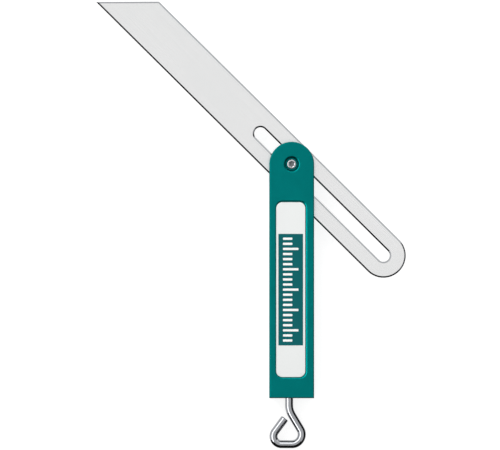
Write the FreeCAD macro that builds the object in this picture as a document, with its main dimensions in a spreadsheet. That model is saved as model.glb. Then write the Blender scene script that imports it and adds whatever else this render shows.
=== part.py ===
"""Sliding bevel gauge: a slotted steel blade turns and slides on a pivot at the head of a flat aluminium
handle, and a wire hook at the handle's tail locks it.

The tool lies on its back. The origin is on the pivot axis at the handle's back face, +Z is up through the
handle, +Y runs from the tail to the head along the handle, and +X is to the right. Lengths are millimetres.

The handle is two cheeks with a gap for the blade, held apart at the tail by a spacer. Turning the hook
drives a push rod up the back cheek. The rod's 45 degree tip rides on a matching notch in the pivot barrel
and draws the barrel back, so that the pivot screw's head pulls the cheeks together on the blade.
"""

import FreeCAD, Part
import Sketcher
import math
import os

PARTS_FOLDER = "parts"
# How closely an edge has to lie at a height or on a line to count as there.
TOUCH = 1e-3
# Recesses and holes stay at least this far inside the handle's outline.
RIM_MARGIN = 1.0

# Driving dimensions: alias, value, meaning. Angles are in degrees.
DIMENSIONS = [
    ("handle_width", 22.0, "handle, edge to edge"),
    ("tail_reach", 115.0, "pivot axis to the handle's tail"),
    ("back_thick", 7.0, "back cheek"),
    ("blade_gap", 2.0, "gap between the cheeks"),
    ("front_thick", 6.0, "front cheek"),
    ("outer_round", 0.5, "rounding of the cheeks' outer edges"),
    ("spacer_length", 15.5, "tail spacer, along the handle"),
    ("spacer_inset", 0.2, "spacer, in from the cheeks' edges"),
    ("recess_width", 14.9, "label recess, across the handle"),
    ("recess_length", 86.7, "label recess, along the handle"),
    ("recess_depth", 0.9, "label recess, below the front face"),
    ("recess_corner", 3.3, "label recess, corner radius"),
    ("recess_lip", 0.35, "rounding of the label recess's rim"),
    ("recess_shift", 0.3, "label recess, left of the handle's centre"),
    ("label_centre", 61.65, "pivot axis to the label's centre"),
    ("label_width", 14.3, "label plate, across the handle"),
    ("label_length", 85.9, "label plate, along the handle"),
    ("label_thick", 0.5, "label plate"),
    ("label_corner", 3.0, "label plate, corner radius"),
    ("label_shift", 0.5, "label plate, left of the handle's centre"),
    ("panel_width", 12.1, "coloured panel on the label"),
    ("panel_length", 54.8, "coloured panel on the label"),
    ("panel_thick", 0.08, "coloured panel on the label"),
    ("blade_width", 22.0, "blade, edge to edge"),
    ("blade_thick", 1.5, "blade"),
    ("blade_round", 0.3, "rounding of the blade's edges"),
    ("mitre_reach", 113.95, "pivot axis to the middle of the blade's mitred end"),
    ("slot_width", 6.2, "slot in the blade"),
    ("slot_up", 21.6, "pivot axis to the slot's end centre, towards the mitre"),
    ("slot_down", 63.8, "pivot axis to the slot's other end centre and the round end's centre"),
    ("rest_angle", 45.25, "blade to the handle's line, degrees"),
    ("slider_length", 9.0, "slider block in the blade's slot"),
    ("slider_width", 6.1, "slider block in the blade's slot"),
    ("washer_size", 16.0, "friction washers, outside diameter"),
    ("washer_thick", 0.2, "friction washers"),
    ("washer_air", 0.02, "friction washer to its cheek"),
    ("barrel_size", 6.0, "pivot barrel's diameter in the back cheek"),
    ("barrel_neck", 5.0, "pivot barrel's diameter through the blade gap"),
    ("barrel_start", 0.6, "back face to the pivot barrel's end"),
    ("barrel_step", 6.5, "back face to the pivot barrel's shoulder"),
    ("barrel_top", 11.2, "back face to the pivot barrel's front end"),
    ("thread_end", 6.8, "back face to the end of the barrel's threaded hole"),
    ("screw_end", 7.1, "back face to the pivot screw's tip"),
    ("head_air", 0.01, "pivot screw's head to its seat"),
    ("running_air", 0.06, "bore over shaft, on the diameter"),
    ("seat_height", 13.0, "back face to the pivot screw's seat"),
    ("seat_under", 11.6, "back face to the underside of the screw's seat"),
    ("dish_size", 6.3, "pivot screw's recess, diameter at the floor"),
    ("dish_round", 1.1, "pivot screw's recess, rounding of the rim"),
    ("screw_size", 2.9, "screw shanks"),
    ("screw_hole", 2.95, "threaded holes"),
    ("screw_pass", 3.2, "clearance holes"),
    ("head_size", 4.7, "pivot screw's head"),
    ("head_height", 1.5, "pivot screw's head"),
    ("head_round", 0.5, "rounding of the pivot screw's head"),
    ("socket_flats", 2.5, "hexagon socket across its flats"),
    ("socket_depth", 1.0, "hexagon socket"),
    ("tail_socket_flats", 2.0, "tail screws' hexagon socket across its flats"),
    ("sunk_size", 5.8, "countersunk heads"),
    ("sunk_depth", 1.35, "countersunk heads"),
    ("sunk_air", 0.1, "countersunk heads below the back face"),
    ("tail_screw_side", 7.4, "tail screws, from the handle's centre"),
    ("tail_screw_reach", 108.0, "pivot axis to the tail screws"),
    ("tail_screw_top", 12.4, "back face to the tail screws' tips"),
    ("tail_hole_top", 12.8, "back face to the tail screw holes' ends"),
    ("rod_shift", 1.15, "push rod and hook, left of the handle's centre"),
    ("rod_height", 3.5, "back face to the push rod's axis"),
    ("rod_size", 4.0, "push rod's upper part, and the hook's wire"),
    ("rod_stem", 5.2, "push rod's lower part"),
    ("rod_foot", 104.4, "pivot axis to the push rod's foot"),
    ("rod_shoulder", 40.0, "pivot axis to the push rod's shoulder"),
    ("tip_rise", 4.7, "height of the rod tip's 45 degree face on the pivot axis"),
    ("tip_blunt", 0.5, "rod tip's blunt edge, past the pivot axis"),
    ("wedge_air", 0.03, "rod tip's face to the barrel's notch, measured along Z"),
    ("notch_roof", 5.75, "back face to the top of the barrel's notch"),
    ("bore_small", 4.1, "push rod's bore, upper part"),
    ("bore_large", 5.3, "push rod's bore, lower part"),
    ("bore_shoulder", 25.0, "pivot axis to the bore's shoulder"),
    ("bore_end", 1.3, "push rod's bore, past the pivot axis"),
    ("bush_size", 5.6, "threaded bush, outside"),
    ("bush_bore", 4.06, "threaded bush, inside"),
    ("bush_length", 9.0, "threaded bush"),
    ("bush_inset", 0.1, "threaded bush, in from the tail"),
    ("bush_air", 0.02, "threaded bush's seat over the bush, on the diameter"),
    ("spring_wire", 0.5, "return spring's wire"),
    ("spring_size", 5.2, "return spring, outside"),
    ("spring_pitch", 2.0, "return spring"),
    ("spring_turns", 7.0, "return spring"),
    ("shank_top", 104.5, "pivot axis to the hook's threaded end"),
    ("neck_drop", 6.6, "tail to the hook's first corner"),
    ("neck_bend", 10.0, "hook's first bend, on the wire's centreline"),
    ("right_side", 8.9, "hook's right corner, right of the handle's centre"),
    ("right_drop", 23.4, "tail to the hook's right corner"),
    ("right_bend", 4.9, "hook's right bend, on the wire's centreline"),
    ("left_side", 12.7, "hook's left corner, left of the handle's centre"),
    ("left_drop", 23.3, "tail to the hook's left corner"),
    ("left_bend", 3.9, "hook's left bend, on the wire's centreline"),
    ("end_side", 3.2, "hook's free end, left of the handle's centre"),
    ("end_drop", 10.5, "tail to the hook's free end"),
    ("wire_chamfer", 0.3, "chamfer on the wire's ends"),
]

# Heights and places that several sub-parts share, as expressions on the sheet.
FRONT_START = "dims.back_thick + dims.blade_gap"
FRONT_FACE = "dims.back_thick + dims.blade_gap + dims.front_thick"
BLADE_START = "dims.back_thick + (dims.blade_gap - dims.blade_thick) / 2"
HALF_WIDTH = "dims.handle_width / 2"

doc = FreeCAD.newDocument("bevel_gauge")
sheet = doc.addObject("Spreadsheet::Sheet", "dims")
for row, (alias, value, meaning) in enumerate(DIMENSIONS, start=1):
    sheet.set(f"A{row}", meaning)
    sheet.set(f"B{row}", str(value))
    sheet.setAlias(f"B{row}", alias)
doc.recompute()

subparts = []


def number(expression):
    """The value that an expression on the sheet has now, used to start a sketch near its solution."""
    return float(sheet.evalExpression(expression.replace("dims.", "")))


# ---- sketch helpers ----


def new_body(label):
    """An empty body, kept as a sub-part under its label."""
    body = doc.addObject("PartDesign::Body", label)
    body.Label = label
    subparts.append(body)
    return body


def plane(body, role):
    """One of the body's own origin planes."""
    return next(f for f in body.Origin.OriginFeatures if f.Role == role)


def new_sketch(body, name, role="XY_Plane", offset="0"):
    """A sketch on an origin plane, moved along that plane's normal: +Z, -Y or +X."""
    sketch = body.newObject("Sketcher::SketchObject", name)
    sketch.AttachmentSupport = [(plane(body, role), "")]
    sketch.MapMode = "FlatFace"
    if offset != "0":
        sketch.setExpression("AttachmentOffset.Base.z", offset)
    doc.recompute()
    return sketch


def bind(sketch, kind, *references, expression):
    """A dimension of the sketch, bound to the sheet."""
    index = sketch.addConstraint(Sketcher.Constraint(kind, *references, number(expression)))
    sketch.setExpression(f"Constraints[{index}]", expression)


def bind_together(sketch, rules):
    """Adds constraints in one go, so that they are solved at once. Each may have an expression."""
    first = sketch.ConstraintCount
    made = [
        Sketcher.Constraint(kind, *references, *([number(expression)] if expression else []))
        for kind, references, expression in rules
    ]
    sketch.addConstraint(made)
    for index, (_, _, expression) in enumerate(rules, start=first):
        if expression:
            sketch.setExpression(f"Constraints[{index}]", expression)


def pin_point(sketch, geometry, point, place):
    """Holds a point at (x, y), each an expression. On an axis it is tied to the axis itself."""
    for expression, kind, axis in ((place[0], "DistanceX", -2), (place[1], "DistanceY", -1)):
        if expression == "0":
            sketch.addConstraint(Sketcher.Constraint("PointOnObject", geometry, point, axis))
        else:
            bind(sketch, kind, -1, 1, geometry, point, expression=expression)


def at(place):
    """The point that a pair of expressions gives now."""
    return FreeCAD.Vector(number(place[0]), number(place[1]), 0)


def draw_polygon(sketch, corners):
    """A closed polygon whose corners are pairs of expressions."""
    points = [at(corner) for corner in corners]
    count = len(points)
    lines = [
        sketch.addGeometry(Part.LineSegment(points[i], points[(i + 1) % count]), False) for i in range(count)
    ]
    for i, line in enumerate(lines):
        sketch.addConstraint(Sketcher.Constraint("Coincident", line, 2, lines[(i + 1) % count], 1))
        pin_point(sketch, line, 1, corners[i])


def draw_circle(sketch, centre, diameter):
    """A circle: its centre is a pair of expressions."""
    circle = sketch.addGeometry(Part.Circle(at(centre), FreeCAD.Vector(0, 0, 1), number(diameter) / 2), False)
    pin_point(sketch, circle, 3, centre)
    bind(sketch, "Diameter", circle, expression=diameter)


def draw_hexagon(sketch, centre, flats):
    """A regular hexagon on a construction circle, with a corner straight above its centre."""
    middle = at(centre)
    radius = number(flats) / math.sqrt(3)
    around = sketch.addGeometry(Part.Circle(middle, FreeCAD.Vector(0, 0, 1), radius), True)
    pin_point(sketch, around, 3, centre)
    bind(sketch, "Diameter", around, expression=f"{flats} * 2 / sqrt(3)")
    corners = []
    for i in range(6):
        turn = math.radians(90 + 60 * i)
        corners.append(middle + FreeCAD.Vector(radius * math.cos(turn), radius * math.sin(turn), 0))
    sides = [sketch.addGeometry(Part.LineSegment(corners[i], corners[(i + 1) % 6]), False) for i in range(6)]
    for i, side in enumerate(sides):
        sketch.addConstraint(Sketcher.Constraint("Coincident", side, 2, sides[(i + 1) % 6], 1))
        sketch.addConstraint(Sketcher.Constraint("PointOnObject", side, 1, around))
        if i:
            sketch.addConstraint(Sketcher.Constraint("Equal", sides[0], side))
    sketch.addConstraint(Sketcher.Constraint("Vertical", sides[0], 1, around, 3))


def draw_round_headed(sketch, radius, foot):
    """A strip with a half-round end about the origin and a square foot below it."""
    size = number(radius)
    low = number(foot)
    axis = FreeCAD.Vector(0, 0, 1)
    circle = Part.Circle(FreeCAD.Vector(0, 0, 0), axis, size)
    arc = sketch.addGeometry(Part.ArcOfCircle(circle, 0, math.pi), False)
    corners = [(-size, 0), (-size, low), (size, low), (size, 0)]
    points = [FreeCAD.Vector(x, y, 0) for x, y in corners]
    left, bottom, right = [
        sketch.addGeometry(Part.LineSegment(points[i], points[i + 1]), False) for i in range(3)
    ]
    for constraint in (
        Sketcher.Constraint("Coincident", arc, 3, -1, 1),
        Sketcher.Constraint("PointOnObject", arc, 1, -1),
        Sketcher.Constraint("PointOnObject", arc, 2, -1),
        Sketcher.Constraint("Coincident", arc, 2, left, 1),
        Sketcher.Constraint("Coincident", left, 2, bottom, 1),
        Sketcher.Constraint("Coincident", bottom, 2, right, 1),
        Sketcher.Constraint("Coincident", right, 2, arc, 1),
        Sketcher.Constraint("Vertical", left),
        Sketcher.Constraint("Vertical", right),
    ):
        sketch.addConstraint(constraint)
    bind(sketch, "Radius", arc, expression=radius)
    bind(sketch, "DistanceY", -1, 1, bottom, 1, expression=foot)
    bind(sketch, "DistanceY", -1, 1, bottom, 2, expression=foot)


def draw_slot(sketch, low, high, width):
    """A round-ended slot along Y: low and high are its end centres, as expressions."""
    radius = number(width) / 2
    bottom, top = number(low), number(high)
    axis = FreeCAD.Vector(0, 0, 1)
    upper = sketch.addGeometry(
        Part.ArcOfCircle(Part.Circle(FreeCAD.Vector(0, top, 0), axis, radius), 0, math.pi), False
    )
    left = sketch.addGeometry(
        Part.LineSegment(FreeCAD.Vector(-radius, top, 0), FreeCAD.Vector(-radius, bottom, 0)), False
    )
    lower = sketch.addGeometry(
        Part.ArcOfCircle(Part.Circle(FreeCAD.Vector(0, bottom, 0), axis, radius), math.pi, 2 * math.pi), False
    )
    right = sketch.addGeometry(
        Part.LineSegment(FreeCAD.Vector(radius, bottom, 0), FreeCAD.Vector(radius, top, 0)), False
    )
    ring = [upper, left, lower, right]
    for i, piece in enumerate(ring):
        sketch.addConstraint(Sketcher.Constraint("Tangent", piece, 2, ring[(i + 1) % 4], 1))
    pin_point(sketch, upper, 3, ("0", high))
    pin_point(sketch, lower, 3, ("0", low))
    bind(sketch, "Radius", upper, expression=f"{width} / 2")


# ---- feature helpers ----


def pad(body, sketch, length, reverse=False):
    """Adds material along the sketch's normal, or against it."""
    feature = body.newObject("PartDesign::Pad", "Pad")
    feature.Profile = sketch
    feature.Reversed = reverse
    feature.setExpression("Length", length)
    doc.recompute()
    return feature


def pocket(body, sketch, length, reverse=False, middle=False):
    """Cuts against the sketch's normal, or along it, or both ways from it, and makes sure that it cut."""
    before = body.Shape.Volume
    feature = body.newObject("PartDesign::Pocket", "Pocket")
    feature.Profile = sketch
    feature.Reversed = reverse
    if middle:
        feature.SideType = "Symmetric"
    feature.setExpression("Length", length)
    doc.recompute()
    if body.Shape.Volume > before - 1e-3:
        raise RuntimeError(f"{sketch.Name} in {body.Label} cut nothing")
    return feature


def dress(body, kind, feature, wanted, size):
    """A Fillet (by its radius) or a Chamfer (by its size) on the edges that pass a test."""
    names = [f"Edge{i}" for i, edge in enumerate(feature.Shape.Edges, start=1) if wanted(edge)]
    if not names:
        raise RuntimeError(f"{body.Label} has no edge for its {kind}")
    dressed = body.newObject(f"PartDesign::{kind}", kind)
    dressed.Base = (feature, names)
    dressed.setExpression("Radius" if kind == "Fillet" else "Size", size)
    doc.recompute()
    return dressed


def lies_at(edge, height):
    """True for an edge that lies flat at a height."""
    return abs(edge.BoundBox.ZMin - height) < TOUCH and abs(edge.BoundBox.ZMax - height) < TOUCH


def upright_inside(edge, side):
    """True for a straight edge along Z that is nearer to the handle's middle than a half width."""
    box = edge.BoundBox
    return box.XLength < TOUCH and box.YLength < TOUCH and max(box.XMax, -box.XMin) < side


def on_outline(height):
    """A test for flat edges on the handle's outline at a height."""
    side = number(HALF_WIDTH)

    def wanted(edge):
        box = edge.BoundBox
        return lies_at(edge, height) and (box.XMin < -side + TOUCH or box.XMax > side - TOUCH)

    return wanted


def inside_strip(height, low, high):
    """A test for flat edges at a height, inside the handle's outline and between two places along it."""
    side = number(HALF_WIDTH) - RIM_MARGIN

    def wanted(edge):
        box = edge.BoundBox
        in_width = box.XMin > -side and box.XMax < side
        return lies_at(edge, height) and in_width and box.YMin > low and box.YMax < high

    return wanted


def rectangle(centre_x, centre_y, width, length):
    """The corners of a rectangle, as pairs of expressions."""
    left, right = f"{centre_x} - {width} / 2", f"{centre_x} + {width} / 2"
    low, high = f"{centre_y} - {length} / 2", f"{centre_y} + {length} / 2"
    return [(left, low), (right, low), (right, high), (left, high)]


# ---- the handle ----


def make_front_cheek():
    """The front cheek: a label recess, a dished recess for the pivot screw, and blind holes at the tail."""
    body = new_body("front_cheek")
    outline = new_sketch(body, "front_outline", offset=FRONT_START)
    draw_round_headed(outline, HALF_WIDTH, "-dims.tail_reach")
    plate = pad(body, outline, "dims.front_thick")

    face, side = number(FRONT_FACE), number(HALF_WIDTH)
    dress(body, "Fillet", plate, on_outline(face), "dims.outer_round")

    recess = new_sketch(body, "label_recess", offset=FRONT_FACE)
    draw_polygon(
        recess, rectangle("-dims.recess_shift", "-dims.label_centre", "dims.recess_width", "dims.recess_length")
    )
    sunk = pocket(body, recess, "dims.recess_depth")
    cornered = dress(body, "Fillet", sunk, lambda e: upright_inside(e, side - RIM_MARGIN), "dims.recess_corner")
    tail = RIM_MARGIN - number("dims.tail_reach")
    dress(body, "Fillet", cornered, inside_strip(face, tail, -side), "dims.recess_lip")

    dish = new_sketch(body, "screw_dish", offset=FRONT_FACE)
    draw_circle(dish, ("0", "0"), "dims.dish_size")
    dished = pocket(body, dish, f"{FRONT_FACE} - dims.seat_height")
    dress(body, "Fillet", dished, inside_strip(face, -side, side), "dims.dish_round")

    passage = new_sketch(body, "screw_passage", offset="dims.seat_height")
    draw_circle(passage, ("0", "0"), "dims.screw_pass")
    pocket(body, passage, "dims.seat_height - dims.seat_under + 0.1")

    neck = new_sketch(body, "barrel_seat", offset=FRONT_START)
    draw_circle(neck, ("0", "0"), "dims.barrel_neck + dims.running_air")
    pocket(body, neck, f"dims.seat_under - ({FRONT_START})", reverse=True)

    holes = new_sketch(body, "tail_holes", offset=FRONT_START)
    for side in ("-dims.tail_screw_side", "dims.tail_screw_side"):
        draw_circle(holes, (side, "-dims.tail_screw_reach"), "dims.screw_hole")
    pocket(body, holes, f"dims.tail_hole_top - ({FRONT_START})", reverse=True)


def make_back_cheek():
    """The back cheek: the barrel's bore, the stepped bore for the push rod, and countersunk tail holes."""
    body = new_body("back_cheek")
    outline = new_sketch(body, "back_outline")
    draw_round_headed(outline, HALF_WIDTH, "-dims.tail_reach")
    plate = pad(body, outline, "dims.back_thick")
    dress(body, "Fillet", plate, on_outline(0), "dims.outer_round")

    bore = new_sketch(body, "barrel_bore", offset="dims.back_thick")
    draw_circle(bore, ("0", "0"), "dims.barrel_size + dims.running_air")
    bored = pocket(body, bore, "dims.back_thick")
    side = number(HALF_WIDTH)
    dress(body, "Chamfer", bored, inside_strip(0, -side, side), "dims.barrel_start / 2")

    holes = new_sketch(body, "tail_passages", offset="dims.back_thick")
    for place in ("-dims.tail_screw_side", "dims.tail_screw_side"):
        draw_circle(holes, (place, "-dims.tail_screw_reach"), "dims.screw_pass")
    drilled = pocket(body, holes, "dims.back_thick")
    tail = RIM_MARGIN - number("dims.tail_reach")
    dress(body, "Chamfer", drilled, inside_strip(0, tail, -side), "dims.sunk_depth + dims.sunk_air")

    axis = ("-dims.rod_shift", "dims.rod_height")
    for name, size, end in (
        ("rod_bore", "dims.bore_small", "dims.tail_reach + dims.bore_end"),
        ("stem_bore", "dims.bore_large", "dims.tail_reach - dims.bore_shoulder"),
        ("bush_seat", "dims.bush_size + dims.bush_air", "dims.bush_length + dims.bush_inset"),
    ):
        section = new_sketch(body, name, role="XZ_Plane", offset="dims.tail_reach")
        draw_circle(section, axis, size)
        pocket(body, section, end)


def make_end_spacer():
    """The spacer that sets the blade gap at the tail, with clearance holes for the tail screws."""
    body = new_body("end_spacer")
    inset = "dims.spacer_inset"
    low = f"-dims.tail_reach + {inset}"
    high = "-dims.tail_reach + dims.spacer_length"
    left, right = f"-{HALF_WIDTH} + {inset}", f"{HALF_WIDTH} - {inset}"
    outline = new_sketch(body, "spacer_outline", offset="dims.back_thick")
    draw_polygon(outline, [(left, low), (right, low), (right, high), (left, high)])
    pad(body, outline, "dims.blade_gap")
    holes = new_sketch(body, "spacer_holes", offset=FRONT_START)
    for side in ("-dims.tail_screw_side", "dims.tail_screw_side"):
        draw_circle(holes, (side, "-dims.tail_screw_reach"), "dims.screw_pass")
    pocket(body, holes, "dims.blade_gap")


def make_tail_screws():
    """Two countersunk screws from the back: one is a body, and the other its mirror image."""
    body = doc.addObject("PartDesign::Body", "tail_screw")
    centre = ("dims.tail_screw_side", "-dims.tail_screw_reach")
    start = "dims.sunk_air"
    shank = new_sketch(body, "tail_shank", offset=start)
    draw_circle(shank, centre, "dims.screw_size")
    pad(body, shank, f"dims.tail_screw_top - {start}")
    head = new_sketch(body, "tail_head", offset=start)
    draw_circle(head, centre, "dims.sunk_size")
    cone = pad(body, head, "dims.sunk_depth")
    cone.setExpression("TaperAngle", "-atan((dims.sunk_size - dims.screw_size) / 2 / dims.sunk_depth)")
    doc.recompute()
    socket = new_sketch(body, "tail_socket", offset=start)
    draw_hexagon(socket, centre, "dims.tail_socket_flats")
    pocket(body, socket, "dims.socket_depth", reverse=True)
    mirrored = doc.addObject("Part::Mirroring", "tail_screw_left")
    mirrored.Source = body
    mirrored.Normal = FreeCAD.Vector(1, 0, 0)
    pair = doc.addObject("Part::Compound", "tail_screws")
    pair.Links = [body, mirrored]
    pair.Label = "tail_screws"
    doc.recompute()
    subparts.append(pair)


def make_label_plate():
    """The pale plate in the label recess."""
    body = new_body("label_plate")
    bottom = f"{FRONT_FACE} - dims.recess_depth"
    outline = new_sketch(body, "label_outline", offset=bottom)
    draw_polygon(
        outline, rectangle("-dims.label_shift", "-dims.label_centre", "dims.label_width", "dims.label_length")
    )
    plate = pad(body, outline, "dims.label_thick")
    dress(body, "Fillet", plate, lambda e: upright_inside(e, number(HALF_WIDTH)), "dims.label_corner")


def make_label_panel():
    """The coloured panel on the label plate."""
    body = new_body("label_panel")
    bottom = f"{FRONT_FACE} - dims.recess_depth + dims.label_thick"
    outline = new_sketch(body, "panel_outline", offset=bottom)
    draw_polygon(
        outline, rectangle("-dims.label_shift", "-dims.label_centre", "dims.panel_width", "dims.panel_length")
    )
    pad(body, outline, "dims.panel_thick")


# ---- the pivot ----


def make_pivot_barrel():
    """The draw barrel: a stepped pin with a 45 degree notch for the rod's tip and a threaded hole in front."""
    body = new_body("pivot_barrel")
    for name, size, start, end in (
        ("barrel_body", "dims.barrel_size", "dims.barrel_start", "dims.barrel_step"),
        ("barrel_neck", "dims.barrel_neck", "dims.barrel_step", "dims.barrel_top"),
    ):
        section = new_sketch(body, name, offset=start)
        draw_circle(section, ("0", "0"), size)
        pad(body, section, f"{end} - {start}")
    notch = new_sketch(body, "barrel_notch", role="YZ_Plane")
    front = "-dims.barrel_size"
    slope = "dims.tip_rise - dims.wedge_air"
    draw_polygon(
        notch,
        [
            (front, f"{slope} - dims.barrel_size"),
            (front, "dims.notch_roof"),
            (f"dims.notch_roof - ({slope})", "dims.notch_roof"),
        ],
    )
    pocket(body, notch, "2 * dims.barrel_size", middle=True)
    hole = new_sketch(body, "barrel_thread", offset="dims.barrel_top")
    draw_circle(hole, ("0", "0"), "dims.screw_hole")
    pocket(body, hole, "dims.barrel_top - dims.thread_end")


def make_pivot_screw():
    """The pivot screw: a round head with a hexagon socket, bearing on the front cheek."""
    body = new_body("pivot_screw")
    seat = "dims.seat_height + dims.head_air"
    shank = new_sketch(body, "pivot_shank", offset=seat)
    draw_circle(shank, ("0", "0"), "dims.screw_size")
    pad(body, shank, f"{seat} - dims.screw_end", reverse=True)
    head = new_sketch(body, "pivot_head", offset=seat)
    draw_circle(head, ("0", "0"), "dims.head_size")
    top = pad(body, head, "dims.head_height")
    height = number(seat) + number("dims.head_height")
    dress(body, "Fillet", top, lambda e: lies_at(e, height), "dims.head_round")
    socket = new_sketch(body, "pivot_socket", offset=f"{seat} + dims.head_height")
    draw_hexagon(socket, ("0", "0"), "dims.socket_flats")
    pocket(body, socket, "dims.socket_depth")


def make_slot_slider():
    """The slider block that turns on the barrel and guides the blade by its slot."""
    body = new_body("slot_slider")
    body.Placement.Rotation = FreeCAD.Rotation(FreeCAD.Vector(0, 0, 1), number("dims.rest_angle"))
    body.setExpression("Placement.Rotation.Angle", "dims.rest_angle")
    outline = new_sketch(body, "slider_outline", offset=BLADE_START)
    reach = "(dims.slider_length - dims.slider_width) / 2"
    draw_slot(outline, f"-{reach}", reach, "dims.slider_width")
    pad(body, outline, "dims.blade_thick")
    bore = new_sketch(body, "slider_bore", offset=f"{BLADE_START} + dims.blade_thick")
    draw_circle(bore, ("0", "0"), "dims.barrel_neck + dims.running_air")
    pocket(body, bore, "dims.blade_thick")


def make_friction_washer(label, start):
    """A thin plastic washer between the blade and a cheek."""
    body = new_body(label)
    ring = new_sketch(body, f"{label}_ring", offset=start)
    draw_circle(ring, ("0", "0"), "dims.washer_size")
    draw_circle(ring, ("0", "0"), "dims.barrel_neck + dims.running_air")
    pad(body, ring, "dims.washer_thick")


# ---- the blade ----


def make_blade():
    """The blade, drawn upright on the pivot axis and turned to its rest angle by its placement."""
    body = new_body("blade")
    body.Placement.Rotation = FreeCAD.Rotation(FreeCAD.Vector(0, 0, 1), number("dims.rest_angle"))
    body.setExpression("Placement.Rotation.Angle", "dims.rest_angle")
    half = number("dims.blade_width") / 2
    down, reach = number("dims.slot_down"), number("dims.mitre_reach")
    outline = new_sketch(body, "blade_outline", offset=BLADE_START)
    circle = Part.Circle(FreeCAD.Vector(0, -down, 0), FreeCAD.Vector(0, 0, 1), half)
    arc = outline.addGeometry(Part.ArcOfCircle(circle, math.pi, 2 * math.pi), False)
    corners = [(half, -down), (half, reach - half), (-half, reach + half), (-half, -down)]
    points = [FreeCAD.Vector(x, y, 0) for x, y in corners]
    right, mitre, left = [
        outline.addGeometry(Part.LineSegment(points[i], points[i + 1]), False) for i in range(3)
    ]
    for constraint in (
        Sketcher.Constraint("Tangent", arc, 2, right, 1),
        Sketcher.Constraint("Coincident", right, 2, mitre, 1),
        Sketcher.Constraint("Coincident", mitre, 2, left, 1),
        Sketcher.Constraint("Tangent", left, 2, arc, 1),
        Sketcher.Constraint("Vertical", right),
    ):
        outline.addConstraint(constraint)
    pin_point(outline, arc, 3, ("0", "-dims.slot_down"))
    bind(outline, "Radius", arc, expression="dims.blade_width / 2")
    bind(outline, "DistanceY", -1, 1, mitre, 1, expression="dims.mitre_reach - dims.blade_width / 2")
    bind(outline, "DistanceY", -1, 1, mitre, 2, expression="dims.mitre_reach + dims.blade_width / 2")
    pad(body, outline, "dims.blade_thick")

    slot = new_sketch(body, "blade_slot", offset=f"{BLADE_START} + dims.blade_thick")
    draw_slot(slot, "-dims.slot_down", "dims.slot_up", "dims.slot_width")
    slotted = pocket(body, slot, "dims.blade_thick")
    back = number(BLADE_START)
    front = back + number("dims.blade_thick")
    dress(body, "Fillet", slotted, lambda e: lies_at(e, back) or lies_at(e, front), "dims.blade_round")


# ---- the lock ----


def make_push_rod():
    """The push rod: a thick stem, a thinner upper part and a tip cut at 45 degrees."""
    body = new_body("push_rod")
    axis = ("-dims.rod_shift", "dims.rod_height")
    for name, size, start, end in (
        ("rod_stem", "dims.rod_stem", "dims.rod_foot", "dims.rod_shoulder"),
        ("rod_upper", "dims.rod_size", "dims.rod_shoulder", "-dims.tip_blunt"),
    ):
        section = new_sketch(body, name, role="XZ_Plane", offset=start)
        draw_circle(section, axis, size)
        pad(body, section, f"{start} - ({end})", reverse=True)
    tip = new_sketch(body, "rod_tip", role="YZ_Plane")
    draw_polygon(
        tip,
        [
            ("-dims.tip_rise", "0"),
            ("dims.rod_size", "0"),
            ("dims.rod_size", "dims.tip_rise + dims.rod_size"),
        ],
    )
    pocket(body, tip, "4 * dims.rod_size", middle=True)


def make_return_spring():
    """The compression spring between the push rod's shoulder and the bore's shoulder."""
    coil = doc.addObject("Part::Helix", "spring_helix")
    coil.setExpression("Pitch", "dims.spring_pitch")
    coil.setExpression("Height", "dims.spring_pitch * dims.spring_turns")
    coil.setExpression("Radius", "(dims.spring_size - dims.spring_wire) / 2")
    coil.SegmentLength = 0.5
    doc.recompute()
    section = doc.addObject("Part::Circle", "spring_section")
    section.setExpression("Radius", "dims.spring_wire / 2")
    section.setExpression("Placement.Base.x", "(dims.spring_size - dims.spring_wire) / 2")
    section.Placement.Rotation = FreeCAD.Rotation(FreeCAD.Vector(1, 0, 0), 90)
    spring = doc.addObject("Part::Sweep", "return_spring")
    spring.Sections = [section]
    spring.Spine = (coil, [f"Edge{i}" for i in range(1, len(coil.Shape.Edges) + 1)])
    spring.Solid = True
    spring.Frenet = True
    spring.Label = "return_spring"
    spring.Placement.Rotation = FreeCAD.Rotation(FreeCAD.Vector(1, 0, 0), -90)
    spring.setExpression("Placement.Base.x", "-dims.rod_shift")
    spring.setExpression("Placement.Base.y", "-dims.rod_shoulder + dims.spring_wire")
    spring.setExpression("Placement.Base.z", "dims.rod_height")
    doc.recompute()
    subparts.append(spring)


def make_thread_bush():
    """The brass bush that the hook's thread turns in."""
    body = new_body("thread_bush")
    ring = new_sketch(body, "bush_ring", role="XZ_Plane", offset="dims.tail_reach - dims.bush_inset")
    axis = ("-dims.rod_shift", "dims.rod_height")
    draw_circle(ring, axis, "dims.bush_size")
    draw_circle(ring, axis, "dims.bush_bore")
    pad(body, ring, "dims.bush_length", reverse=True)


def corner_arc(before, corner, after, radius):
    """The arc that rounds a corner of a path, its two tangent points, and whether the path turns left."""
    inward = (before - corner).normalize()
    outward = (after - corner).normalize()
    half_angle = inward.getAngle(outward) / 2
    first, last = [corner + way * (radius / math.tan(half_angle)) for way in (inward, outward)]
    centre = corner + (inward + outward).normalize() * (radius / math.sin(half_angle))
    turns_left = inward.cross(outward).z < 0
    ends = (first, last) if turns_left else (last, first)
    start, stop = [math.atan2(point.y - centre.y, point.x - centre.x) for point in ends]
    if stop < start:
        stop += 2 * math.pi
    circle = Part.Circle(centre, FreeCAD.Vector(0, 0, 1), radius)
    return Part.ArcOfCircle(circle, start, stop), first, last, turns_left


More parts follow.
